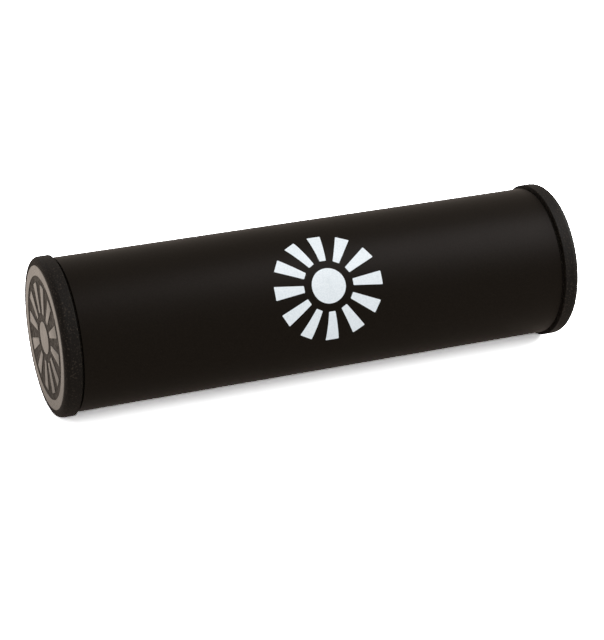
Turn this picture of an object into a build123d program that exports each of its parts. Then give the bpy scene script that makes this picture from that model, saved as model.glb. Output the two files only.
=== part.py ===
from build123d import *

import os
from math import acos, asin, cos, pi, sin, sqrt, tau

# A tubular percussion shaker lying on its side: a coated metal tube, two moulded end caps pressed
# into it and a charge of steel shot. Millimetres. +X runs along the tube, +Z is up, and the origin
# is on the table, under the middle of the tube.

os.makedirs("parts", exist_ok=True)

# Whole shaker
overall_length = 203.2

# Tube
tube_diameter = 57.15
tube_wall = 1.2
tube_edge_chamfer = 0.2

# End cap, outside the tube
flange_thickness = 6.0
flange_overhang = 1.175
flange_edge_bevel = 0.35
rim_radius = 2.4
rim_steps = 3
shadow_gap = 1.1
groove_depth = 0.9

# End cap, inside the bore
plug_length = 12.0
plug_wall = 2.2
plug_clearance = 0.25
plug_lead_in = 0.8
plate_thickness = 3.0
crush_rib_count = 8
crush_rib_width = 1.6
crush_rib_squeeze = 0.08

# Face of the end cap: a land ring round a sunk ground, with a burst of rays left standing on it
rim_groove_width = 1.0
rim_groove_depth = 0.25
land_width = 3.4
ground_depth = 0.25
disc_radius = 6.0
ray_count = 12
ray_gap = 3.2
ray_margin = 2.6
ray_inner_width = 2.2
ray_outer_width = 4.6

# Charge of shot
shot_diameter = 4.5
shot_gap = 0.3
bed_depth = 12.0
rank_count = 17

# Places and sizes that follow from the ones above
tube_radius = tube_diameter / 2
bore_radius = tube_radius - tube_wall
cap_radius = tube_radius + flange_overhang
axis_height = cap_radius
neck_radius = tube_radius - groove_depth
plug_radius = bore_radius - plug_clearance
plug_bore_radius = plug_radius - plug_wall
plug_start = flange_thickness + shadow_gap
cap_length = plug_start + plug_length
tube_length = overall_length - 2 * plug_start
face_radius = cap_radius - rim_radius
land_radius = face_radius - rim_groove_width
ground_radius = land_radius - land_width
ray_inner_radius = disc_radius + ray_gap
ray_outer_radius = ground_radius - ray_margin
tube_axis = Axis((0, 0, axis_height), (1, 0, 0))


def end_origin(side):
    """The middle of one end's face. Side is -1 at the left end and 1 at the right end."""
    return (side * overall_length / 2, 0, axis_height)


def profile_plane(side):
    """The upright plane along the axis: its x points out of that end and its y is up."""
    return Plane(origin=end_origin(side), x_dir=(side, 0, 0), z_dir=(0, -side, 0))


def face_plane(side):
    """The plane of one end's face: its normal points out of that end."""
    return Plane(origin=end_origin(side), x_dir=(0, side, 0), z_dir=(side, 0, 0))


# The rim's quarter round, from the face to the side, in a few short steps
rim_angles = [step * pi / 2 / rim_steps for step in range(rim_steps + 1)]
rim_round = [(rim_radius * (cos(a) - 1), face_radius + rim_radius * sin(a)) for a in rim_angles]

# Half the cap's section, inwards from the face: flange, neck and hollow plug
cap_outline = [
    (0, 0),
    *rim_round,
    (-flange_thickness, cap_radius),
    (-flange_thickness, neck_radius),
    (-plug_start, neck_radius),
    (-plug_start, plug_radius),
    (-cap_length, plug_radius),
    (-cap_length, plug_bore_radius),
    (-plate_thickness, plug_bore_radius),
    (-plate_thickness, 0),
]

# Its bevelled corners: over the groove and at the plug's lead-in
bevelled_corners = [
    ((-flange_thickness, cap_radius), flange_edge_bevel),
    ((-cap_length, plug_radius), plug_lead_in),
]

# Section of a crush rib along the plug, out from the axis and across: its crest bites into the bore
crush_rib_outline = [
    (plug_bore_radius + plug_wall / 2, -crush_rib_width / 2),
    (bore_radius + crush_rib_squeeze, 0),
    (plug_bore_radius + plug_wall / 2, crush_rib_width / 2),
]
with BuildSketch() as crush_rib:
    with BuildLine():
        Polyline(*crush_rib_outline, close=True)
    make_face()

# The shallow groove between the rim and the land ring
rim_groove_outline = [
    (0, land_radius),
    (-rim_groove_depth, land_radius + rim_groove_width / 2),
    (0, face_radius),
]

# One ray of the burst, along +X from the middle and wider at its outer end
ray_outline = [
    (ray_inner_radius, -ray_inner_width / 2),
    (ray_outer_radius, -ray_outer_width / 2),
    (ray_outer_radius, ray_outer_width / 2),
    (ray_inner_radius, ray_inner_width / 2),
]
with BuildSketch() as ray:
    with BuildLine():
        Polyline(*ray_outline, close=True)
    make_face()


def end_cap(side):
    """One moulded cap, turned round the axis, with the relief sunk into its face."""
    with BuildPart() as cap:
        with BuildSketch(profile_plane(side)) as profile:
            with BuildLine():
                Polyline(*cap_outline, close=True)
            make_face()
            for place, bevel in bevelled_corners:
                chamfer(profile.vertices().sort_by_distance(place)[0], bevel)
        revolve(axis=tube_axis)

        with BuildSketch(face_plane(side).offset(-plug_start)):
            with PolarLocations(0, crush_rib_count):
                add(crush_rib.sketch)
        extrude(amount=plug_lead_in - plug_length)

        with BuildSketch(profile_plane(side)):
            with BuildLine():
                Polyline(*rim_groove_outline, close=True)
            make_face()
        revolve(axis=tube_axis, mode=Mode.SUBTRACT)

        with BuildSketch(face_plane(side)):
            Circle(ground_radius)
            Circle(disc_radius, mode=Mode.SUBTRACT)
            with PolarLocations(0, ray_count):
                add(ray.sketch, mode=Mode.SUBTRACT)
        extrude(amount=-ground_depth, mode=Mode.SUBTRACT)
    return cap.part


# Tube: the wall turned round the axis, with its outer edges broken
with BuildPart() as tube:
    with BuildSketch(Plane.XZ) as wall:
        with Locations((0, axis_height + bore_radius + tube_wall / 2)):
            Rectangle(tube_length, tube_wall)
        chamfer(wall.vertices().group_by(Axis.Y)[-1], tube_edge_chamfer)
    revolve(axis=tube_axis)
tube.part.label = "tube"
export_step(tube.part, "parts/tube.step")

# End caps: the same moulding at both ends
for cap_name, cap_side in (("left_end_cap", -1), ("right_end_cap", 1)):
    finished_cap = end_cap(cap_side)
    finished_cap.label = cap_name
    export_step(finished_cap, f"parts/{cap_name}.step")

# One pellet of shot: a ball of 20 flat sides, one corner each way along the tube and two rings of
# five between them, with the volume of the round pellet
pellet_edge = shot_diameter * (tau / (5 * (3 + sqrt(5)))) ** (1 / 3)
pellet_reach = pellet_edge * sqrt(10 + 2 * sqrt(5)) / 4
ring_radius = pellet_reach * 2 / sqrt(5)
ring_offset = pellet_reach / sqrt(5)
ring_angles = [step * tau / 10 for step in range(10)]
pellet_corners = [(-pellet_reach, 0, 0), (pellet_reach, 0, 0)]
for step, angle in enumerate(ring_angles):
    ring_x = ring_offset if step % 2 else -ring_offset
    pellet_corners.append((ring_x, ring_radius * cos(angle), ring_radius * sin(angle)))
pellet = ConvexPolyhedron(pellet_corners)

# Spacing of the pellets within a rank, and of the ranks
pellet_pitch = 2 * ring_radius + shot_gap
rank_pitch = 2 * pellet_reach + shot_gap


def bed_places():
    """Places of one rank's pellets, across and up: arcs along the bore, level at the top of the bed."""
    places = []
    arc_radius = bore_radius - shot_gap - ring_radius
    highest = bore_radius - bed_depth + ring_radius
    while arc_radius > highest:
        step = 2 * asin(pellet_pitch / 2 / arc_radius)
        each_side = int(acos(highest / arc_radius) / step)
        for index in range(-each_side, each_side + 1):
            angle = index * step
            places.append((0, arc_radius * sin(angle), axis_height - arc_radius * cos(angle)))
        arc_radius = arc_radius - pellet_pitch
    return places


# Shot: ranks of pellets lying across the bottom of the bore, side by side along the tube
for rank_number in range(1, rank_count + 1):
    rank_x = (rank_number - (rank_count + 1) / 2) * rank_pitch
    with BuildPart(Plane.XY.move(Location((rank_x, 0, 0)))) as rank:
        with Locations(*bed_places()):
            add(pellet)
    rank_name = f"shot_rank_{rank_number:02d}"
    rank.part.label = rank_name
    export_step(rank.part, f"parts/{rank_name}.step")

bed_length = rank_count * rank_pitch - shot_gap
chamber_length = overall_length - 2 * cap_length
print("pellets in a rank", len(bed_places()))
print("rank pitch", rank_pitch)
print("chamber", chamber_length, "bed", bed_length)
print("travel each way", (chamber_length - bed_length) / 2 - shot_gap)
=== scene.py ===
# %% [markdown]
# # A tube shaker, dressed on its CAD frame
#
# The shaker is a metal tube with a satin black coat. A moulded cap is pressed into each end, and
# loose steel shot rattles inside. The CAD model gives every size and place. Blender adds what a
# lens would see: fine round forms, softened edges, moulded grain, a white print and soft light.
#
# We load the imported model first. It is a fixed frame: nothing in it is moved or reshaped. Each new
# piece stands for a CAD node and rides on the same body.

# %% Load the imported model
from math import acos, asin, atan2, cos, hypot, pi, radians, sin, sqrt, tan, tau

import bmesh
import bpy
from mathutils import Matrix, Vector


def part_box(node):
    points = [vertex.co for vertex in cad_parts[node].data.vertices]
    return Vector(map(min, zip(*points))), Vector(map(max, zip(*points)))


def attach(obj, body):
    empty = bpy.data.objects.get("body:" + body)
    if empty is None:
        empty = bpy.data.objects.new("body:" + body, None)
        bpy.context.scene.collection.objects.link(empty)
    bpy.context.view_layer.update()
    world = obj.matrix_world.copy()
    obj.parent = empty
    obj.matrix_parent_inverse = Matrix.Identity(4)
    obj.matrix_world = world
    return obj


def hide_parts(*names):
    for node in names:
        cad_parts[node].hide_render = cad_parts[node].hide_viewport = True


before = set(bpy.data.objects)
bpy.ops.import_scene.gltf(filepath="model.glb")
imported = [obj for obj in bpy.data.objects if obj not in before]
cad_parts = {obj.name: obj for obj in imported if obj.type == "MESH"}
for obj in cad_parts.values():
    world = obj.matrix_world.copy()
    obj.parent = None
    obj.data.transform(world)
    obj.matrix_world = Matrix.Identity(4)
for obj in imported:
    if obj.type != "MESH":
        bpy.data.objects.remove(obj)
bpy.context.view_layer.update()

# %% [markdown]
# ## Sizes that all pieces share
#
# The boxes of the CAD nodes give the outer sizes, so they can't drift from the frame. The finer
# sizes, such as the rim's round or the depth of the face, are named here in metres.

# %% Measure the frame
MM = 0.001
tube_low, tube_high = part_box("tube")
cap_low, cap_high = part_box("left_end_cap")

tube_length = tube_high.x - tube_low.x
tube_radius = round((tube_high.y - tube_low.y) / 2, 6)
cap_radius = round((cap_high.y - cap_low.y) / 2, 6)
cap_length = cap_high.x - cap_low.x
half_length = -cap_low.x
axis_height = round((cap_high.z + cap_low.z) / 2, 6)
print(f"tube {tube_length:.4f} long, {2 * tube_radius:.4f} across; caps {2 * cap_radius:.4f} across")

# %% [markdown]
# ## The camera
#
# The photograph looks down on the shaker from the front left. The camera stands at a given place
# and is aimed by two angles with no roll, as a photographer would set a tripod. A long lens keeps
# the two ends of the tube almost parallel.

# %% Set up the camera
camera_azimuth = radians(21.11)
camera_elevation = radians(25.149)
camera_place = Vector((-0.26157, -0.67467, 0.35951))
camera_aim = Vector((
    sin(camera_azimuth) * cos(camera_elevation),
    cos(camera_azimuth) * cos(camera_elevation),
    -sin(camera_elevation),
))

lens = bpy.data.cameras.new("portrait_lens")
lens.lens = 117.88
lens.sensor_width = 36.0
lens.clip_end = 50.0
camera = bpy.data.objects.new("camera", lens)
camera.location = camera_place
camera.rotation_euler = camera_aim.to_track_quat("-Z", "Y").to_euler()
bpy.context.scene.collection.objects.link(camera)
bpy.context.scene.camera = camera
bpy.context.scene.view_settings.view_transform = "Standard"
print(f"camera {camera_place.length:.3f} m from the middle of the floor under the tube")

# %% [markdown]
# ## Floor and light
#
# A product shot like this one stands on a white sweep inside a light tent. The tent lights evenly
# from all round, so a colour renders about as it is written. Three soft lamps add some shape, and
# a fourth shows only in glossy surfaces, as the sheen along the tube.
#
# What a ray finds depends on its kind. Camera rays find a bright white, which keeps only the deep
# shadow under the shaker. Rays mirrored by a surface find a warmer and dimmer white. All other
# rays find the plain floor and tent that light the shaker.

# %% Choose what a ray finds


def found_by_ray(nodes, links, lighting, mirrored, shown):
    """One shader for the rays that light, one for mirrored rays and one for the camera's."""
    ray = nodes.new("ShaderNodeLightPath")
    bounced = nodes.new("ShaderNodeMath")
    bounced.operation = "MAXIMUM"
    if_mirrored = nodes.new("ShaderNodeMixShader")
    if_shown = nodes.new("ShaderNodeMixShader")
    links.new(ray.outputs["Is Glossy Ray"], bounced.inputs[0])
    links.new(ray.outputs["Is Transmission Ray"], bounced.inputs[1])
    links.new(bounced.outputs[0], if_mirrored.inputs[0])
    links.new(lighting, if_mirrored.inputs[1])
    links.new(mirrored, if_mirrored.inputs[2])
    links.new(ray.outputs["Is Camera Ray"], if_shown.inputs[0])
    links.new(if_mirrored.outputs[0], if_shown.inputs[1])
    links.new(shown, if_shown.inputs[2])
    return if_shown.outputs[0]


# %% [markdown]
# The floor is one diffuse sheet with three shades of paper. The two that are seen also glow a
# little, which lifts the darkest shadow, as light that leaks through real paper does.

# %% Make the floor
FLOOR_HALF = 3.0
LIT_PAPER = (0.9, 0.9, 0.9)
MIRRORED_PAPER = (0.72, 0.62, 0.54)
MIRRORED_GLOW = (1, 0.86, 0.75)
SHOWN_PAPER = (3.85, 3.85, 3.87)
SHOWN_GLOW = (1, 1, 1)


def paper(nodes, colour):
    sheet = nodes.new("ShaderNodeBsdfDiffuse")
    sheet.inputs["Color"].default_value = (*colour, 1)
    return sheet.outputs[0]


def glowing_paper(nodes, links, colour, glow, strength):
    """Paper with a faint light of its own."""
    lift = nodes.new("ShaderNodeEmission")
    lift.inputs["Color"].default_value = (*glow, 1)
    lift.inputs["Strength"].default_value = strength
    both = nodes.new("ShaderNodeAddShader")
    links.new(paper(nodes, colour), both.inputs[0])
    links.new(lift.outputs[0], both.inputs[1])
    return both.outputs[0]


def white_floor_finish():
    """Plain paper, which the camera and reflections see as the white background."""
    material = bpy.data.materials.new("white_sweep")
    material.use_nodes = True
    nodes, links = material.node_tree.nodes, material.node_tree.links
    nodes.clear()
    out = nodes.new("ShaderNodeOutputMaterial")
    mirrored = glowing_paper(nodes, links, MIRRORED_PAPER, MIRRORED_GLOW, 0.2)
    shown = glowing_paper(nodes, links, SHOWN_PAPER, SHOWN_GLOW, 0.16)
    found = found_by_ray(nodes, links, paper(nodes, LIT_PAPER), mirrored, shown)
    links.new(found, out.inputs["Surface"])
    return material


floor_corners = [
    (-FLOOR_HALF, -FLOOR_HALF, 0),
    (FLOOR_HALF, -FLOOR_HALF, 0),
    (FLOOR_HALF, FLOOR_HALF, 0),
    (-FLOOR_HALF, FLOOR_HALF, 0),
]
floor_mesh = bpy.data.meshes.new("floor")
floor_mesh.from_pydata(floor_corners, [], [(0, 1, 2, 3)])
floor_mesh.materials.append(white_floor_finish())
floor = bpy.data.objects.new("floor", floor_mesh)
bpy.context.scene.collection.objects.link(floor)
print("floor", 2 * FLOOR_HALF, "m wide")

# %% [markdown]
# The tent is the world. It gives most of the light, and the floor throws much of it back up, so
# the print is nearly as bright at its foot as at its top.

# %% Light the tent
TENT_LIGHT = 0.85
MIRRORED_TENT = (0.79, 0.69, 0.61)
WHITE = (1, 1, 1)


def cloth(nodes, colour, strength=1.0):
    background = nodes.new("ShaderNodeBackground")
    background.inputs["Color"].default_value = (*colour, 1)
    background.inputs["Strength"].default_value = strength
    return background.outputs[0]


def light_tent():
    """A plain world, seen as white by the camera and a little warm in reflections."""
    world = bpy.data.worlds.new("light_tent")
    world.use_nodes = True
    nodes, links = world.node_tree.nodes, world.node_tree.links
    nodes.clear()
    out = nodes.new("ShaderNodeOutputWorld")
    lighting = cloth(nodes, WHITE, TENT_LIGHT)
    mirrored = cloth(nodes, MIRRORED_TENT)
    shown = cloth(nodes, WHITE)
    links.new(found_by_ray(nodes, links, lighting, mirrored, shown), out.inputs["Surface"])
    bpy.context.scene.world = world


light_tent()
print("tent light", TENT_LIGHT)

# %% [markdown]
# The lamps are small areas of light, all turned to the shaker. The front one is nearly behind the
# camera, the low one lights the right end, and the back one is for views from behind.

# %% Set up the lamps


def softbox(name, place, wide, high, power, sheen_only=False):
    """A soft lamp at that place. One that is sheen only shows in glossy surfaces and lights
    nothing else."""
    lamp = bpy.data.lights.new(name, "AREA")
    lamp.shape = "RECTANGLE"
    lamp.size = wide
    lamp.size_y = high
    lamp.energy = power
    holder = bpy.data.objects.new(name, lamp)
    holder.visible_diffuse = not sheen_only
    holder.location = place
    aim = Vector((0, 0, axis_height)) - Vector(place)
    holder.rotation_euler = aim.to_track_quat("-Z", "Y").to_euler()
    bpy.context.scene.collection.objects.link(holder)


softbox("front_softbox", (-0.7, -1.2, 0.9), 0.9, 0.7, 1.5)
softbox("top_softbox", (0.45, -0.23, 0.56), 0.46, 0.75, 6.5, sheen_only=True)
softbox("low_softbox", (0.8, 0.05, 0.34), 0.3, 0.25, 4.4)
softbox("back_softbox", (-0.45, 1.1, 0.62), 0.9, 0.6, 2.4)
print("lamps", [lamp.name for lamp in bpy.data.lights])

# %% [markdown]
# ## Finishes
#
# Six finishes dress the shaker. All patterns read Object coordinates, in metres, so a grain that
# is 0.5 mm on the real part is 0.5 mm here, and it stays put when the part moves.
#
# The coat on the tube and the moulded plastic are both nearly black. What tells them apart is how
# they scatter light, so the work is in the roughness and the fine relief, not in the colour.

# %% A blank finish and its grain


def blank_finish(name, specular_level, gloss_tint=(1, 1, 1), metallic=0.0):
    """A Principled material with its Object coordinates at hand."""
    material = bpy.data.materials.new(name)
    material.use_nodes = True
    nodes, links = material.node_tree.nodes, material.node_tree.links
    shader = nodes["Principled BSDF"]
    shader.inputs["Specular IOR Level"].default_value = specular_level
    shader.inputs["Specular Tint"].default_value = (*gloss_tint, 1)
    shader.inputs["Metallic"].default_value = metallic
    where = nodes.new("ShaderNodeTexCoord")
    return material, nodes, links, shader, where.outputs["Object"]


def speckle(nodes, links, where, size, detail=2.0):
    """Cloudy noise whose lumps are about that size, in metres."""
    noise = nodes.new("ShaderNodeTexNoise")
    noise.inputs["Scale"].default_value = 1 / size
    noise.inputs["Detail"].default_value = detail
    links.new(where, noise.inputs["Vector"])
    return noise.outputs["Fac"]


def spread(nodes, links, value, low, high, start=0.3, end=0.7):
    """Maps the noise's middle range onto low to high."""
    ranger = nodes.new("ShaderNodeMapRange")
    ranger.inputs["From Min"].default_value = start
    ranger.inputs["From Max"].default_value = end
    ranger.inputs["To Min"].default_value = low
    ranger.inputs["To Max"].default_value = high
    links.new(value, ranger.inputs["Value"])
    return ranger.outputs["Result"]


def two_tones(nodes, links, value, dark, light):
    """A colour between two tones, by a value from 0 to 1."""
    mix = nodes.new("ShaderNodeMix")
    mix.data_type = "RGBA"
    links.new(value, mix.inputs["Factor"])
    mix.inputs["A"].default_value = (*dark, 1)
    mix.inputs["B"].default_value = (*light, 1)
    return mix.outputs["Result"]


def relief(nodes, links, shader, height, depth, under=None):
    """Turns a height into bumps of that depth, in metres."""
    bump = nodes.new("ShaderNodeBump")
    bump.inputs["Strength"].default_value = 1.0
    bump.inputs["Distance"].default_value = depth
    links.new(height, bump.inputs["Height"])
    if under is not None:
        links.new(under.outputs["Normal"], bump.inputs["Normal"])
    links.new(bump.outputs["Normal"], shader.inputs["Normal"])
    return bump


# %% [markdown]
# The tube's coat is baked powder: a satin skin with a faint orange peel about a millimetre across
# and a much finer tooth on it. The tooth spreads the highlights until the tube looks almost dry.

# %% Satin coat of the tube


def satin_coat():
    """Baked black powder. A wide cloud varies its gloss a little."""
    material, nodes, links, shader, where = blank_finish("satin_coat", 0.05, (1.0, 0.93, 0.97))
    tooth = speckle(nodes, links, where, 0.35 * MM, 3)
    peel = speckle(nodes, links, where, 1.4 * MM, 1)
    cloud = speckle(nodes, links, where, 14 * MM, 2)
    tone = spread(nodes, links, tooth, 0, 1)
    shade = two_tones(nodes, links, tone, (0.0049, 0.0037, 0.0021), (0.0085, 0.0064, 0.0041))
    links.new(shade, shader.inputs["Base Color"])
    links.new(spread(nodes, links, cloud, 0.42, 0.45), shader.inputs["Roughness"])
    soft = relief(nodes, links, shader, peel, 0.010 * MM)
    relief(nodes, links, shader, tooth, 0.008 * MM, soft)
    return material


tube_finish = satin_coat()
print(tube_finish.name)

# %% [markdown]
# The caps come from a mould whose walls are spark eroded, which leaves a fine pebbled grain on the
# rim and the flange. Tiny brownish glints are painted into the colour of the highest lumps. They are
# painted highlights for where the grain would catch the light.

# %% Moulded grain of the caps


def pebbled_plastic():
    """Nearly black moulded plastic with lumps, pebbles on the lumps and painted glints on the
    highest.
    """
    material, nodes, links, shader, where = blank_finish("pebbled_plastic", 0.10)
    pebbles = nodes.new("ShaderNodeTexVoronoi")
    pebbles.feature = "SMOOTH_F1"
    pebbles.inputs["Scale"].default_value = 1 / (0.6 * MM)
    links.new(where, pebbles.inputs["Vector"])
    lumps = speckle(nodes, links, where, 0.6 * MM, 3)
    # Painted highlight: the highest lumps get a lighter brownish base colour, standing in for glints
    # of light on the grain.
    painted_glints = spread(nodes, links, lumps, 0, 1, 0.55, 0.70)
    shade = two_tones(nodes, links, painted_glints, (0.0046, 0.0035, 0.0025), (0.032, 0.0245, 0.018))
    links.new(shade, shader.inputs["Base Color"])
    links.new(spread(nodes, links, lumps, 0.6, 0.75), shader.inputs["Roughness"])
    soft = relief(nodes, links, shader, lumps, 0.08 * MM)
    relief(nodes, links, shader, pebbles.outputs["Distance"], 0.06 * MM, soft)
    return material


cap_finish = pebbled_plastic()
print(cap_finish.name)

# %% [markdown]
# The land ring and the raised shapes on the face were polished in the mould, so at the camera's
# grazing angle they mirror the white floor and look light grey. The sunk ground between them is
# stippled: fine grains half a millimetre wide lie over shallow pits three times as wide. They
# break that mirror up and leave the ground darker.

# %% Polished land and stippled ground of the face


def polished_land():
    """Moulded plastic with a polish that is a little hazy in places."""
    material, nodes, links, shader, where = blank_finish("polished_land", 1.0, (1.0, 0.97, 0.94))
    haze = speckle(nodes, links, where, 2.5 * MM, 3)
    fine = speckle(nodes, links, where, 0.25 * MM, 2)
    tone = spread(nodes, links, haze, 0, 1)
    shade = two_tones(nodes, links, tone, (0.050, 0.046, 0.040), (0.068, 0.062, 0.055))
    links.new(shade, shader.inputs["Base Color"])
    links.new(spread(nodes, links, haze, 0.24, 0.34), shader.inputs["Roughness"])
    relief(nodes, links, shader, fine, 0.003 * MM)
    return material


def stippled_ground():
    """The same plastic with grains over pits. The pits also vary the gloss."""
    material, nodes, links, shader, where = blank_finish("stippled_ground", 0.13, (1.0, 0.97, 0.94))
    stipple = speckle(nodes, links, where, 0.5 * MM, 3)
    pits = speckle(nodes, links, where, 1.5 * MM, 2)
    tone = spread(nodes, links, stipple, 0, 1, 0.42, 0.68)
    shade = two_tones(nodes, links, tone, (0.005, 0.0038, 0.0025), (0.050, 0.041, 0.032))
    links.new(shade, shader.inputs["Base Color"])
    links.new(spread(nodes, links, pits, 0.44, 0.66), shader.inputs["Roughness"])
    soft = relief(nodes, links, shader, pits, 0.40 * MM)
    relief(nodes, links, shader, stipple, 0.08 * MM, soft)
    return material


land_finish = polished_land()
ground_finish = stippled_ground()
print(land_finish.name, ground_finish.name)

# %% [markdown]
# The print is one thick pass of white ink. It is a touch cool, follows the tooth of the coat under
# it and is a little thinner in places, so it isn't quite one white.

# %% White ink of the print


def screen_ink():
    """Cool white ink. Its gloss varies with the pull of the squeegee."""
    material, nodes, links, shader, where = blank_finish("screen_ink", 0.3)
    tooth = speckle(nodes, links, where, 0.5 * MM, 3)
    pull = speckle(nodes, links, where, 5 * MM, 2)
    tone = spread(nodes, links, tooth, 0, 1)
    shade = two_tones(nodes, links, tone, (0.70, 0.76, 0.80), (0.82, 0.87, 0.90))
    links.new(shade, shader.inputs["Base Color"])
    links.new(spread(nodes, links, pull, 0.42, 0.55), shader.inputs["Roughness"])
    relief(nodes, links, shader, tooth, 0.006 * MM)
    return material


ink_finish = screen_ink()
print(ink_finish.name)

# %% [markdown]
# Shot is rolled steel wire, cut, headed and tumbled until it is round. Tumbling leaves it bright
# with fine dull patches.

# %% Tumbled steel of the shot


def tumbled_steel():
    """Bright steel with dull patches."""
    material, nodes, links, shader, where = blank_finish("tumbled_steel", 0.5, metallic=1.0)
    patches = speckle(nodes, links, where, 0.8 * MM, 4)
    tone = spread(nodes, links, patches, 0, 1)
    shade = two_tones(nodes, links, tone, (0.50, 0.49, 0.48), (0.66, 0.65, 0.64))
    links.new(shade, shader.inputs["Base Color"])
    links.new(spread(nodes, links, patches, 0.18, 0.36), shader.inputs["Roughness"])
    relief(nodes, links, shader, patches, 0.004 * MM)
    return material


steel_finish = tumbled_steel()
print(steel_finish.name)

# %% [markdown]
# ## Turned parts
#
# The tube and the caps are round all the way about one axis, like work from a lathe. We could spin
# a profile in edit mode. A Geometry Nodes tree does the same and keeps its sizes as named inputs:
# it takes an outline, sweeps it round a small circle, welds the poles and shades it smooth.
#
# Smooth shading blends the light across every edge. A long flat next to a small round would pick
# up a false gradient, so each outline carries an extra point close to every corner, which holds
# the blend to a fraction of a millimetre.

# %% Soften the corners of an outline


def soften(corners, steps=5, hold=0.08 * MM):
    """Rounds each (along, radius, round, zone) corner of a closed outline and holds its ends.

    All the points of a corner keep its zone. Between two close rounds the holding points move in,
    so that they never pass each other."""
    count = len(corners)
    places = [Vector((along, radius)) for along, radius, round_radius, zone in corners]
    half_angles = []
    reaches = []
    for i in range(count):
        back = places[i - 1] - places[i]
        ahead = places[(i + 1) % count] - places[i]
        half_angles.append(back.angle(ahead) / 2)
        reaches.append(corners[i][2] / tan(half_angles[i]))

    points = []
    for i, (along, radius, round_radius, zone) in enumerate(corners):
        if round_radius == 0:
            points.append((along, radius, zone))
            continue
        back = places[i - 1] - places[i]
        ahead = places[(i + 1) % count] - places[i]
        room_back = back.length - reaches[i - 1] - reaches[i]
        room_ahead = ahead.length - reaches[i] - reaches[(i + 1) % count]
        back.normalize()
        ahead.normalize()
        start = places[i] + back * reaches[i]
        end = places[i] + ahead * reaches[i]
        middle = places[i] + (back + ahead).normalized() * (round_radius / sin(half_angles[i]))
        held_back = start + back * min(hold, room_back / 3)
        held_ahead = end + ahead * min(hold, room_ahead / 3)
        points.append((held_back.x, held_back.y, zone))
        first = atan2(start.y - middle.y, start.x - middle.x)
        turn = atan2(end.y - middle.y, end.x - middle.x) - first
        turn = (turn + pi) % tau - pi
        for step in range(steps + 1):
            angle = first + turn * step / steps
            points.append((
                middle.x + round_radius * cos(angle),
                middle.y + round_radius * sin(angle),
                zone,
            ))
        points.append((held_ahead.x, held_ahead.y, zone))
    return points


# %% Build the tree that turns an outline


def new_tree(name, inputs):
    """An empty Geometry Nodes tree with a geometry in and out and the named inputs."""
    tree = bpy.data.node_groups.new(name, "GeometryNodeTree")
    tree.interface.new_socket("Geometry", in_out="INPUT", socket_type="NodeSocketGeometry")
    tree.interface.new_socket("Geometry", in_out="OUTPUT", socket_type="NodeSocketGeometry")
    for label, kind in inputs:
        tree.interface.new_socket(label, in_out="INPUT", socket_type=kind)
    source = tree.nodes.new("NodeGroupInput")
    result = tree.nodes.new("NodeGroupOutput")
    return tree, source, result


def add_node(tree, kind, **settings):
    """A new node with those settings."""
    node = tree.nodes.new(kind)
    for setting, value in settings.items():
        setattr(node, setting, value)
    return node


# A corner's zone names its finish. A face between two zones has a value between theirs, and
# takes the finish of the highest bound that it passes.
MAIN, LAND, GROUND = 0, 1, 2
LAND_BOUND = 0.4
GROUND_BOUND = 1.6
WELD_DISTANCE = 0.002 * MM


def turned_part_tree():
    """Sweeps an outline round the shaker's axis and finishes it in up to three zones."""
    tree, source, result = new_tree("turned_part", [
        ("Steps round", "NodeSocketInt"),
        ("Axis height", "NodeSocketFloat"),
        ("Core radius", "NodeSocketFloat"),
        ("Main finish", "NodeSocketMaterial"),
        ("Land finish", "NodeSocketMaterial"),
        ("Ground finish", "NodeSocketMaterial"),
    ])
    link = tree.links.new
    core = add_node(tree, "GeometryNodeCurvePrimitiveCircle")
    outline = add_node(tree, "GeometryNodeMeshToCurve")
    sweep = add_node(tree, "GeometryNodeCurveToMesh")
    weld = add_node(tree, "GeometryNodeMergeByDistance")
    weld.inputs["Distance"].default_value = WELD_DISTANCE
    lay_down = add_node(tree, "GeometryNodeTransform")
    lay_down.inputs["Rotation"].default_value = (0, pi / 2, 0)
    height = add_node(tree, "ShaderNodeCombineXYZ")
    smooth = add_node(tree, "GeometryNodeSetShadeSmooth")
    zone = add_node(tree, "GeometryNodeInputNamedAttribute", data_type="FLOAT")
    zone.inputs["Name"].default_value = "zone"
    link(source.outputs["Steps round"], core.inputs["Resolution"])
    link(source.outputs["Core radius"], core.inputs["Radius"])
    link(source.outputs["Geometry"], outline.inputs[0])
    link(core.outputs["Curve"], sweep.inputs["Curve"])
    link(outline.outputs["Curve"], sweep.inputs["Profile Curve"])
    link(sweep.outputs["Mesh"], weld.inputs["Geometry"])
    link(weld.outputs["Geometry"], lay_down.inputs["Geometry"])
    link(source.outputs["Axis height"], height.inputs["Z"])
    link(height.outputs["Vector"], lay_down.inputs["Translation"])
    link(lay_down.outputs["Geometry"], smooth.inputs["Geometry"])
    whole = add_node(tree, "GeometryNodeRealizeInstances")
    link(smooth.outputs["Geometry"], whole.inputs["Geometry"])
    shape = whole.outputs["Geometry"]
    for label, bound in (
        ("Main finish", None),
        ("Land finish", LAND_BOUND),
        ("Ground finish", GROUND_BOUND),
    ):
        coat = add_node(tree, "GeometryNodeSetMaterial")
        link(shape, coat.inputs["Geometry"])
        link(source.outputs[label], coat.inputs["Material"])
        if bound is not None:
            past = add_node(tree, "FunctionNodeCompare", data_type="FLOAT", operation="GREATER_THAN")
            past.inputs["B"].default_value = bound
            link(zone.outputs["Attribute"], past.inputs["A"])
            link(past.outputs["Result"], coat.inputs["Selection"])
        shape = coat.outputs["Geometry"]
    link(shape, result.inputs["Geometry"])
    return tree


turned_part = turned_part_tree()
print("turned_part has", len(turned_part.nodes), "nodes")

# %% [markdown]
# A modifier on a small carrier object runs the tree. Its inputs are set by the sockets' own
# identifiers. The result is copied out as a plain mesh without empty finish slots, and the
# carrier goes. Then doubled points are merged and the faces are turned outwards. Corners that
# stay square, such as the edge of the print, are marked sharp, so the light breaks there.

# %% Run a tree and keep its mesh


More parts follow.
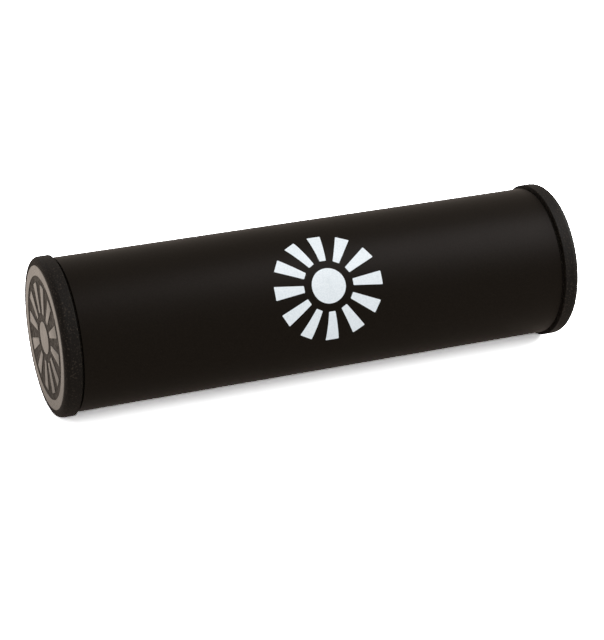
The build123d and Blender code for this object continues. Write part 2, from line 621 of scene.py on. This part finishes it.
def set_inputs(modifier, values):
    """Sets the modifier's inputs, found by the names on the tree."""
    for item in modifier.node_group.interface.items_tree:
        if item.item_type == "SOCKET" and item.in_out == "INPUT" and item.name in values:
            modifier[item.identifier] = values[item.name]


def grown_mesh(tree, name, points, edges=(), zones=None, values=None, more=()):
    """Grows a mesh from carrier points with the tree, then with the modifiers in more."""
    carrier_mesh = bpy.data.meshes.new(name + "_carrier")
    carrier_mesh.from_pydata(points, edges, [])
    if zones is not None:
        layer = carrier_mesh.attributes.new("zone", "FLOAT", "POINT")
        layer.data.foreach_set("value", zones)
    carrier = bpy.data.objects.new(name + "_carrier", carrier_mesh)
    bpy.context.scene.collection.objects.link(carrier)
    grower = carrier.modifiers.new("grow", "NODES")
    grower.node_group = tree
    set_inputs(grower, values or {})
    for kind, settings in more:
        extra = carrier.modifiers.new(kind.lower(), kind)
        for setting, value in settings.items():
            setattr(extra, setting, value)
    bpy.context.view_layer.update()
    shown = carrier.evaluated_get(bpy.context.evaluated_depsgraph_get())
    mesh = bpy.data.meshes.new_from_object(shown)
    mesh.name = name
    bpy.data.objects.remove(carrier)
    for index in reversed(range(len(mesh.materials))):
        if mesh.materials[index] is None:
            mesh.materials.pop(index=index)
    return mesh


SHARP_ANGLE = radians(50)
DOUBLES_DISTANCE = 0.0005 * MM


def face_outwards(mesh):
    """Merges doubled points, turns every shell's faces outwards and marks its sharp edges."""
    shell = bmesh.new()
    shell.from_mesh(mesh)
    bmesh.ops.remove_doubles(shell, verts=shell.verts, dist=DOUBLES_DISTANCE)
    bmesh.ops.recalc_face_normals(shell, faces=shell.faces)
    for edge in shell.edges:
        edge.smooth = edge.calc_face_angle(0) < SHARP_ANGLE
    open_edges = sum(1 for edge in shell.edges if not edge.is_manifold)
    shell.to_mesh(mesh)
    shell.free()
    return open_edges


def joined(name, meshes):
    """One object from several meshes, with their finishes kept."""
    parts = []
    for mesh in meshes:
        part = bpy.data.objects.new(name, mesh)
        bpy.context.scene.collection.objects.link(part)
        parts.append(part)
    if len(parts) > 1:
        with bpy.context.temp_override(
            active_object=parts[0], selected_objects=parts, selected_editable_objects=parts
        ):
            bpy.ops.object.join()
    parts[0].name = name
    return parts[0]


STEPS_ROUND = 256
CORE_RADIUS = 0.5 * MM


def turned_mesh(name, corners, main, land=None, ground=None, closed=True):
    """Turns an outline of (along, radius, round, zone) corners into a mesh. An outline that ends
    on the axis isn't closed."""
    outline = soften(corners)
    points = [(r - CORE_RADIUS, -x, 0) for x, r, zone in outline]
    edges = [(i, i + 1) for i in range(len(points) - 1)]
    if closed:
        edges.append((len(points) - 1, 0))
    mesh = grown_mesh(turned_part, name, points, edges, [zone for x, r, zone in outline], {
        "Steps round": STEPS_ROUND,
        "Axis height": axis_height,
        "Core radius": CORE_RADIUS,
        "Main finish": main,
        "Land finish": land or main,
        "Ground finish": ground or main,
    })
    open_edges = face_outwards(mesh)
    print(name, len(mesh.polygons), "faces,", open_edges, "open edges")
    return mesh


# %% [markdown]
# ## The tube
#
# A cut length of thin metal tube, coated inside and out. Its ends were deburred before coating, so
# the edges are soft. The outline is only the wall, 1.2 mm thick, and the tree turns it.

# %% Turn the tube
TUBE_WALL = 1.2 * MM
TUBE_EDGE_ROUND = 0.15 * MM
BORE_EDGE_ROUND = 0.075 * MM
bore_radius = tube_radius - TUBE_WALL
tube_end = tube_length / 2

tube_corners = [
    (-tube_end, tube_radius, TUBE_EDGE_ROUND, MAIN),
    (tube_end, tube_radius, TUBE_EDGE_ROUND, MAIN),
    (tube_end, bore_radius, BORE_EDGE_ROUND, MAIN),
    (-tube_end, bore_radius, BORE_EDGE_ROUND, MAIN),
]
coated_tube = joined("coated_tube", [turned_mesh("coated_tube", tube_corners, tube_finish)])
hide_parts("tube")
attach(coated_tube, "shaker")

# %% [markdown]
# ## The end caps
#
# Each cap is one moulding. From outside to inside it has a rounded rim, a pebbled flange, a
# shadow groove before the tube's end, and a hollow plug that grips the bore. Its face has a
# polished land ring round a sunk, stippled ground, and a raised disc in the middle.
#
# The outline starts at the middle of the face and runs outwards, round the rim, down the plug and
# back to the axis. Depth counts from the face inwards. The main zone is pebbled, the land is
# polished and the ground is stippled. Each corner is (depth, radius, round, zone).

# %% Sizes of a cap
FLANGE = 6.0 * MM
RIM_ROUND = 2.4 * MM
GROOVE_WIDE = 1.1 * MM
GROOVE_DEEP = 0.9 * MM
PLUG_CLEARANCE = 0.25 * MM
PLUG_WALL = 2.2 * MM
PLUG_LEAD = 0.8 * MM
PLATE = 3.0 * MM
RIM_GROOVE_WIDE = 1.0 * MM
RIM_GROOVE_DEEP = 0.25 * MM
LAND_WIDE = 3.4 * MM
GROUND_DEEP = 0.25 * MM
DISC_RADIUS = 6.0 * MM
EDGE_ROUND = 0.12 * MM
DRAFT = 0.05 * MM

neck_radius = tube_radius - GROOVE_DEEP
plug_radius = bore_radius - PLUG_CLEARANCE
plug_bore_radius = plug_radius - PLUG_WALL
plug_start = FLANGE + GROOVE_WIDE
face_radius = cap_radius - RIM_ROUND
land_radius = face_radius - RIM_GROOVE_WIDE
ground_radius = land_radius - LAND_WIDE

cap_corners = [
    (0, 0, 0, LAND),
    (0, DISC_RADIUS, EDGE_ROUND, LAND),
    (GROUND_DEEP, DISC_RADIUS + DRAFT, EDGE_ROUND, GROUND),
    (GROUND_DEEP, ground_radius - DRAFT, EDGE_ROUND, GROUND),
    (0, ground_radius, EDGE_ROUND, LAND),
    (0, land_radius, 0.06 * MM, LAND),
    (RIM_GROOVE_DEEP, (land_radius + face_radius) / 2, 0.3 * MM, MAIN),
    (0, face_radius, 0.08 * MM, MAIN),
    (0, cap_radius, RIM_ROUND - 0.1 * MM, MAIN),
    (FLANGE, cap_radius, 0.2 * MM, MAIN),
    (FLANGE, neck_radius, 0.15 * MM, MAIN),
    (plug_start, neck_radius, 0.1 * MM, MAIN),
    (plug_start, plug_radius, 0.1 * MM, MAIN),
    (cap_length, plug_radius, PLUG_LEAD, MAIN),
    (cap_length, plug_bore_radius, 0.3 * MM, MAIN),
    (PLATE, plug_bore_radius, 0.6 * MM, MAIN),
    (PLATE, 0, 0, MAIN),
]
print(len(cap_corners), "corners")
print(f"land ring {2 * ground_radius / MM:.1f} to {2 * land_radius / MM:.1f} mm")

# %% [markdown]
# ### The burst on the face
#
# Twelve tapered rays stand on the ground round the disc. They are one ray repeated, which is what
# Geometry Nodes do best. The same tree makes the print on the tube later, so it has one more
# switch: it can wrap the flat burst round a wall of a given radius.
#
# One ray is a trapezium with its corners filleted, filled and divided into small faces, so that it
# can bend. It is placed on as many points as there are rays, each turned by its share of a circle.
# The disc in the middle is made only where its radius is above nothing.

# %% Build the tree that lays out a burst


CORNER_STEPS = 5
DISC_STEPS = 72


def burst_tree():
    """Lays out tapered rays round a disc, and wraps them round a wall when asked."""
    tree, source, result = new_tree("burst_of_rays", [
        ("Rays", "NodeSocketInt"),
        ("Inner radius", "NodeSocketFloat"),
        ("Outer radius", "NodeSocketFloat"),
        ("Inner width", "NodeSocketFloat"),
        ("Outer width", "NodeSocketFloat"),
        ("Corner round", "NodeSocketFloat"),
        ("Disc radius", "NodeSocketFloat"),
        ("Wall radius", "NodeSocketFloat"),
        ("Wrap", "NodeSocketBool"),
        ("Divisions", "NodeSocketInt"),
        ("Finish", "NodeSocketMaterial"),
    ])
    link = tree.links.new

    def reckon(a, operation, b=0):
        """A Math node on two numbers or sockets."""
        math = add_node(tree, "ShaderNodeMath", operation=operation)
        for socket, value in zip(math.inputs, (a, b)):
            if isinstance(value, (int, float)):
                socket.default_value = value
            else:
                link(value, socket)
        return math.outputs["Value"]

    inner, outer = source.outputs["Inner radius"], source.outputs["Outer radius"]
    outline = add_node(tree, "GeometryNodeCurvePrimitiveQuadrilateral", mode="TRAPEZOID")
    link(reckon(outer, "SUBTRACT", inner), outline.inputs["Height"])
    link(source.outputs["Inner width"], outline.inputs["Bottom Width"])
    link(source.outputs["Outer width"], outline.inputs["Top Width"])
    outline.inputs["Offset"].default_value = 0
    fillet = add_node(tree, "GeometryNodeFilletCurve", mode="POLY")
    fillet.inputs["Count"].default_value = CORNER_STEPS
    link(outline.outputs["Curve"], fillet.inputs["Curve"])
    link(source.outputs["Corner round"], fillet.inputs["Radius"])
    fill = add_node(tree, "GeometryNodeFillCurve", mode="NGONS")
    link(fillet.outputs["Curve"], fill.inputs["Curve"])
    reach = add_node(tree, "ShaderNodeCombineXYZ")
    link(reckon(reckon(inner, "ADD", outer), "MULTIPLY", 0.5), reach.inputs["Y"])
    outwards = add_node(tree, "GeometryNodeTransform")
    link(fill.outputs["Mesh"], outwards.inputs["Geometry"])
    link(reach.outputs["Vector"], outwards.inputs["Translation"])

    places = add_node(tree, "GeometryNodePoints")
    link(source.outputs["Rays"], places.inputs["Count"])
    number = add_node(tree, "GeometryNodeInputIndex")
    share = reckon(tau, "DIVIDE", source.outputs["Rays"])
    turn = add_node(tree, "ShaderNodeCombineXYZ")
    link(reckon(number.outputs["Index"], "MULTIPLY", share), turn.inputs["Z"])
    around = add_node(tree, "GeometryNodeInstanceOnPoints")
    link(places.outputs[0], around.inputs["Points"])
    link(outwards.outputs["Geometry"], around.inputs["Instance"])
    link(turn.outputs["Vector"], around.inputs["Rotation"])

    ring = add_node(tree, "GeometryNodeCurvePrimitiveCircle")
    ring.inputs["Resolution"].default_value = DISC_STEPS
    link(source.outputs["Disc radius"], ring.inputs["Radius"])
    disc = add_node(tree, "GeometryNodeFillCurve", mode="NGONS")
    link(ring.outputs["Curve"], disc.inputs["Curve"])
    has_disc = add_node(tree, "FunctionNodeCompare", data_type="FLOAT", operation="GREATER_THAN")
    link(source.outputs["Disc radius"], has_disc.inputs["A"])
    maybe_disc = add_node(tree, "GeometryNodeSwitch", input_type="GEOMETRY")
    link(has_disc.outputs["Result"], maybe_disc.inputs["Switch"])
    link(disc.outputs["Mesh"], maybe_disc.inputs["True"])
    both = add_node(tree, "GeometryNodeJoinGeometry")
    link(around.outputs["Instances"], both.inputs["Geometry"])
    link(maybe_disc.outputs["Output"], both.inputs["Geometry"])
    whole = add_node(tree, "GeometryNodeRealizeInstances")
    link(both.outputs["Geometry"], whole.inputs["Geometry"])
    fine = add_node(tree, "GeometryNodeSubdivideMesh")
    link(whole.outputs["Geometry"], fine.inputs["Mesh"])
    link(source.outputs["Divisions"], fine.inputs["Level"])

    here = add_node(tree, "GeometryNodeInputPosition")
    flat = add_node(tree, "ShaderNodeSeparateXYZ")
    link(here.outputs["Position"], flat.inputs["Vector"])
    wall = source.outputs["Wall radius"]
    angle = reckon(flat.outputs["Y"], "DIVIDE", wall)
    bent = add_node(tree, "ShaderNodeCombineXYZ")
    link(flat.outputs["X"], bent.inputs["X"])
    link(reckon(wall, "MULTIPLY", reckon(angle, "SINE")), bent.inputs["Y"])
    link(reckon(wall, "MULTIPLY", reckon(angle, "COSINE")), bent.inputs["Z"])
    wrap = add_node(tree, "GeometryNodeSetPosition")
    link(fine.outputs["Mesh"], wrap.inputs["Geometry"])
    link(source.outputs["Wrap"], wrap.inputs["Selection"])
    link(bent.outputs["Vector"], wrap.inputs["Position"])
    smooth = add_node(tree, "GeometryNodeSetShadeSmooth")
    link(wrap.outputs["Geometry"], smooth.inputs["Geometry"])
    coat = add_node(tree, "GeometryNodeSetMaterial")
    link(smooth.outputs["Geometry"], coat.inputs["Geometry"])
    link(source.outputs["Finish"], coat.inputs["Material"])
    link(coat.outputs["Geometry"], result.inputs["Geometry"])
    return tree


burst_of_rays = burst_tree()
print("burst_of_rays has", len(burst_of_rays.nodes), "nodes")

# %% [markdown]
# The flat rays get their height from a Solidify modifier and their soft edges from a Bevel. They
# reach a little below the ground, as the real ones grow out of it. The tree lays them in its XY
# plane, so they are then turned to look out of the face.

# %% Raise the rays of a cap
RAY_COUNT = 12
RAY_INNER = DISC_RADIUS + 3.2 * MM
RAY_OUTER = ground_radius - 2.6 * MM
RAY_INNER_WIDE = 2.2 * MM
RAY_OUTER_WIDE = 4.6 * MM
RAY_CORNER_ROUND = 0.35 * MM
RAY_EDGE_ROUND = 0.1 * MM
RAY_ROOT = 0.15 * MM


def standing_rays(side):
    """The rays of one cap. Side is -1 at the left end and 1 at the right end."""
    mesh = grown_mesh(burst_of_rays, "standing_rays", [(0, 0, 0)], values={
        "Rays": RAY_COUNT,
        "Inner radius": RAY_INNER,
        "Outer radius": RAY_OUTER,
        "Inner width": RAY_INNER_WIDE,
        "Outer width": RAY_OUTER_WIDE,
        "Corner round": RAY_CORNER_ROUND,
        "Disc radius": 0.0,
        "Wall radius": tube_radius,
        "Wrap": False,
        "Divisions": 0,
        "Finish": land_finish,
    }, more=[
        ("SOLIDIFY", {"thickness": GROUND_DEEP + RAY_ROOT, "offset": -1.0}),
        ("BEVEL", {
            "width": RAY_EDGE_ROUND,
            "segments": 3,
            "limit_method": "ANGLE",
            "angle_limit": radians(60),
        }),
    ])
    for vertex in mesh.vertices:
        across, up, out = vertex.co
        vertex.co = (side * (half_length + out), side * across, axis_height + up)
    face_outwards(mesh)
    return mesh


print("rays from", round(RAY_INNER / MM, 2), "to", round(RAY_OUTER / MM, 2), "mm")

# %% [markdown]
# ### The crush ribs
#
# Eight thin ribs run along each plug. Their crests are squeezed as the cap is pressed in, and they
# hold it. They are hidden once the cap is on, but they are part of the moulding, so they are made,
# again by repeating one rib round the axis.

# %% Build the tree that sets ribs round a plug


def rib_tree():
    """Sets three-sided ribs round a circle, each with a crest that points outwards."""
    tree, source, result = new_tree("crush_ribs", [
        ("Ribs", "NodeSocketInt"),
        ("Centre radius", "NodeSocketFloat"),
        ("Rib reach", "NodeSocketFloat"),
        ("Rib length", "NodeSocketFloat"),
        ("Finish", "NodeSocketMaterial"),
    ])
    link = tree.links.new
    ring = add_node(tree, "GeometryNodeMeshCircle")
    link(source.outputs["Ribs"], ring.inputs["Vertices"])
    link(source.outputs["Centre radius"], ring.inputs["Radius"])
    rib = add_node(tree, "GeometryNodeMeshCylinder")
    rib.inputs["Vertices"].default_value = 3
    link(source.outputs["Rib reach"], rib.inputs["Radius"])
    link(source.outputs["Rib length"], rib.inputs["Depth"])
    number = add_node(tree, "GeometryNodeInputIndex")
    share = add_node(tree, "ShaderNodeMath", operation="DIVIDE")
    share.inputs[0].default_value = tau
    link(source.outputs["Ribs"], share.inputs[1])
    angle = add_node(tree, "ShaderNodeMath", operation="MULTIPLY")
    link(number.outputs["Index"], angle.inputs[0])
    link(share.outputs["Value"], angle.inputs[1])
    turn = add_node(tree, "ShaderNodeCombineXYZ")
    link(angle.outputs["Value"], turn.inputs["Z"])
    around = add_node(tree, "GeometryNodeInstanceOnPoints")
    link(ring.outputs["Mesh"], around.inputs["Points"])
    link(rib.outputs["Mesh"], around.inputs["Instance"])
    link(turn.outputs["Vector"], around.inputs["Rotation"])
    whole = add_node(tree, "GeometryNodeRealizeInstances")
    link(around.outputs["Instances"], whole.inputs["Geometry"])
    coat = add_node(tree, "GeometryNodeSetMaterial")
    link(whole.outputs["Geometry"], coat.inputs["Geometry"])
    link(source.outputs["Finish"], coat.inputs["Material"])
    link(coat.outputs["Geometry"], result.inputs["Geometry"])
    return tree


crush_ribs = rib_tree()
print("crush_ribs has", len(crush_ribs.nodes), "nodes")

# %% Set the ribs round a plug
RIB_COUNT = 8
RIB_SQUEEZE = 0.08 * MM
RIB_REACH = 0.9 * MM
rib_length = cap_length - plug_start - PLUG_LEAD


def plug_ribs(side):
    """The crush ribs of one plug, along the axis."""
    mesh = grown_mesh(crush_ribs, "plug_ribs", [(0, 0, 0)], values={
        "Ribs": RIB_COUNT,
        "Centre radius": bore_radius + RIB_SQUEEZE - RIB_REACH,
        "Rib reach": RIB_REACH,
        "Rib length": rib_length,
        "Finish": cap_finish,
    })
    middle = half_length - plug_start - rib_length / 2
    for vertex in mesh.vertices:
        across, up, along = vertex.co
        vertex.co = (side * middle + along, across, axis_height + up)
    face_outwards(mesh)
    return mesh


print("rib crests at", round((bore_radius + RIB_SQUEEZE) / MM, 3), "mm")

# %% [markdown]
# ### Putting a cap together
#
# The turned moulding, its rays and its ribs become one object, which stands for the CAD cap. Both
# ends are the same moulding, turned to face the other way.

# %% Make both caps


def moulded_cap(name, side):
    """One cap. Side is -1 at the left end and 1 at the right end."""
    corners = [(side * (half_length - depth), r, soft, zone) for depth, r, soft, zone in cap_corners]
    body = turned_mesh(name, corners, cap_finish, land_finish, ground_finish, closed=False)
    return joined(name, [body, standing_rays(side), plug_ribs(side)])


for cap_name, cap_node, cap_side in (
    ("left_moulded_cap", "left_end_cap", -1),
    ("right_moulded_cap", "right_end_cap", 1),
):
    cap = moulded_cap(cap_name, cap_side)
    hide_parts(cap_node)
    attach(cap, "shaker")
    print(cap_name, len(cap.data.polygons), "faces,", len(cap.data.materials), "finishes")

# %% [markdown]
# ## The print on the tube
#
# Half way along the tube sits a white screen print, 42 mm across. Here it is a plain burst of rays
# round a disc. It could be painted in the coat's material, but ink has an edge and a thickness, so
# it is a thin skin of its own: the burst tree wraps it round the tube, and a Solidify modifier
# gives it five hundredths of a millimetre.

# %% Print the burst
PRINT_TILT = radians(31)
PRINT_REACH = 21.0 * MM
PRINT_DISC = 6.6 * MM
PRINT_RAY_INNER = 9.6 * MM
PRINT_RAY_INNER_WIDE = 2.5 * MM
PRINT_RAY_OUTER_WIDE = 5.2 * MM
PRINT_CORNER_ROUND = 0.3 * MM
INK = 0.05 * MM

ink_mesh = grown_mesh(burst_of_rays, "printed_burst", [(0, 0, 0)], values={
    "Rays": RAY_COUNT,
    "Inner radius": PRINT_RAY_INNER,
    "Outer radius": PRINT_REACH,
    "Inner width": PRINT_RAY_INNER_WIDE,
    "Outer width": PRINT_RAY_OUTER_WIDE,
    "Corner round": PRINT_CORNER_ROUND,
    "Disc radius": PRINT_DISC,
    "Wall radius": tube_radius,
    "Wrap": True,
    "Divisions": 3,
    "Finish": ink_finish,
}, more=[("SOLIDIFY", {"thickness": INK, "offset": 0.6})])
for vertex in ink_mesh.vertices:
    along, round_wall, out = vertex.co
    reach = hypot(round_wall, out)
    angle = atan2(round_wall, out) + PRINT_TILT
    vertex.co = (along, -reach * cos(angle), axis_height + reach * sin(angle))
open_edges = face_outwards(ink_mesh)
printed_burst = joined("printed_burst", [ink_mesh])
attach(printed_burst, "shaker")
print("print", len(ink_mesh.polygons), "faces,", open_edges, "open edges")

# %% [markdown]
# ## The shot
#
# The charge lies along the bottom of the bore. In the CAD model it is 17 ranks across the tube, one
# body each, so that they can slide and swirl. Its pellets are balls of 20 flat sides, as big as a
# round pellet. Here each pellet is round again, at the same places: arcs that follow the bore,
# level at the top of the bed.

# %% Places of the pellets in a rank
SHOT = 4.5 * MM
SHOT_GAP = 0.3 * MM
BED_DEEP = 12.0 * MM

# The frame's pellet: the length of its edges, its reach and the radius of its two rings of corners
pellet_edge = SHOT * (tau / (5 * (3 + sqrt(5)))) ** (1 / 3)
pellet_reach = pellet_edge * sqrt(10 + 2 * sqrt(5)) / 4
ring_radius = pellet_reach * 2 / sqrt(5)


def rank_places():
    """Across and up, for one rank, as the frame lays them."""
    places = []
    pitch = 2 * ring_radius + SHOT_GAP
    arc = bore_radius - SHOT_GAP - ring_radius
    highest = bore_radius - BED_DEEP + ring_radius
    while arc > highest:
        step = 2 * asin(pitch / 2 / arc)
        each_side = int(acos(highest / arc) / step)
        for index in range(-each_side, each_side + 1):
            places.append((arc * sin(index * step), axis_height - arc * cos(index * step)))
        arc = arc - pitch
    return places


print(len(rank_places()), "pellets in a rank")

# %% [markdown]
# The tree sets a small ball on every point. Each ball is turned at random, with a fixed seed, so
# that the facets of two neighbours don't line up. A ball has 80 faces: it is shown many times over,
# and smooth shading hides the facets.

# %% Build the tree that pours a rank


def rank_tree():
    """Sets a tumbled ball on every point."""
    tree, source, result = new_tree("rank_of_shot", [
        ("Ball diameter", "NodeSocketFloat"),
        ("Seed", "NodeSocketInt"),
        ("Finish", "NodeSocketMaterial"),
    ])
    link = tree.links.new
    half = add_node(tree, "ShaderNodeMath", operation="MULTIPLY")
    half.inputs[1].default_value = 0.5
    link(source.outputs["Ball diameter"], half.inputs[0])
    ball = add_node(tree, "GeometryNodeMeshIcoSphere")
    ball.inputs["Subdivisions"].default_value = 2
    link(half.outputs["Value"], ball.inputs["Radius"])
    tumble = add_node(tree, "FunctionNodeRandomValue", data_type="FLOAT_VECTOR")
    tumble.inputs["Max"].default_value = (tau, tau, tau)
    link(source.outputs["Seed"], tumble.inputs["Seed"])
    pour = add_node(tree, "GeometryNodeInstanceOnPoints")
    link(source.outputs["Geometry"], pour.inputs["Points"])
    link(ball.outputs["Mesh"], pour.inputs["Instance"])
    link(tumble.outputs["Value"], pour.inputs["Rotation"])
    whole = add_node(tree, "GeometryNodeRealizeInstances")
    link(pour.outputs["Instances"], whole.inputs["Geometry"])
    smooth = add_node(tree, "GeometryNodeSetShadeSmooth")
    link(whole.outputs["Geometry"], smooth.inputs["Geometry"])
    coat = add_node(tree, "GeometryNodeSetMaterial")
    link(smooth.outputs["Geometry"], coat.inputs["Geometry"])
    link(source.outputs["Finish"], coat.inputs["Material"])
    link(coat.outputs["Geometry"], result.inputs["Geometry"])
    return tree


rank_of_shot = rank_tree()
print("rank_of_shot has", len(rank_of_shot.nodes), "nodes")

# %% Pour every rank
rank_nodes = sorted(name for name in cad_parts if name.startswith("shot_rank_"))
for number, node in enumerate(rank_nodes):
    low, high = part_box(node)
    middle = (low.x + high.x) / 2
    spots = [(middle, across, up) for across, up in rank_places()]
    rank_mesh = grown_mesh(rank_of_shot, "steel_" + node, spots, values={
        "Ball diameter": SHOT,
        "Seed": number,
        "Finish": steel_finish,
    })
    face_outwards(rank_mesh)
    rank = joined("steel_" + node, [rank_mesh])
    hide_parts(node)
    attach(rank, node)
print(len(rank_nodes), "ranks of", len(rank_places()), "balls")
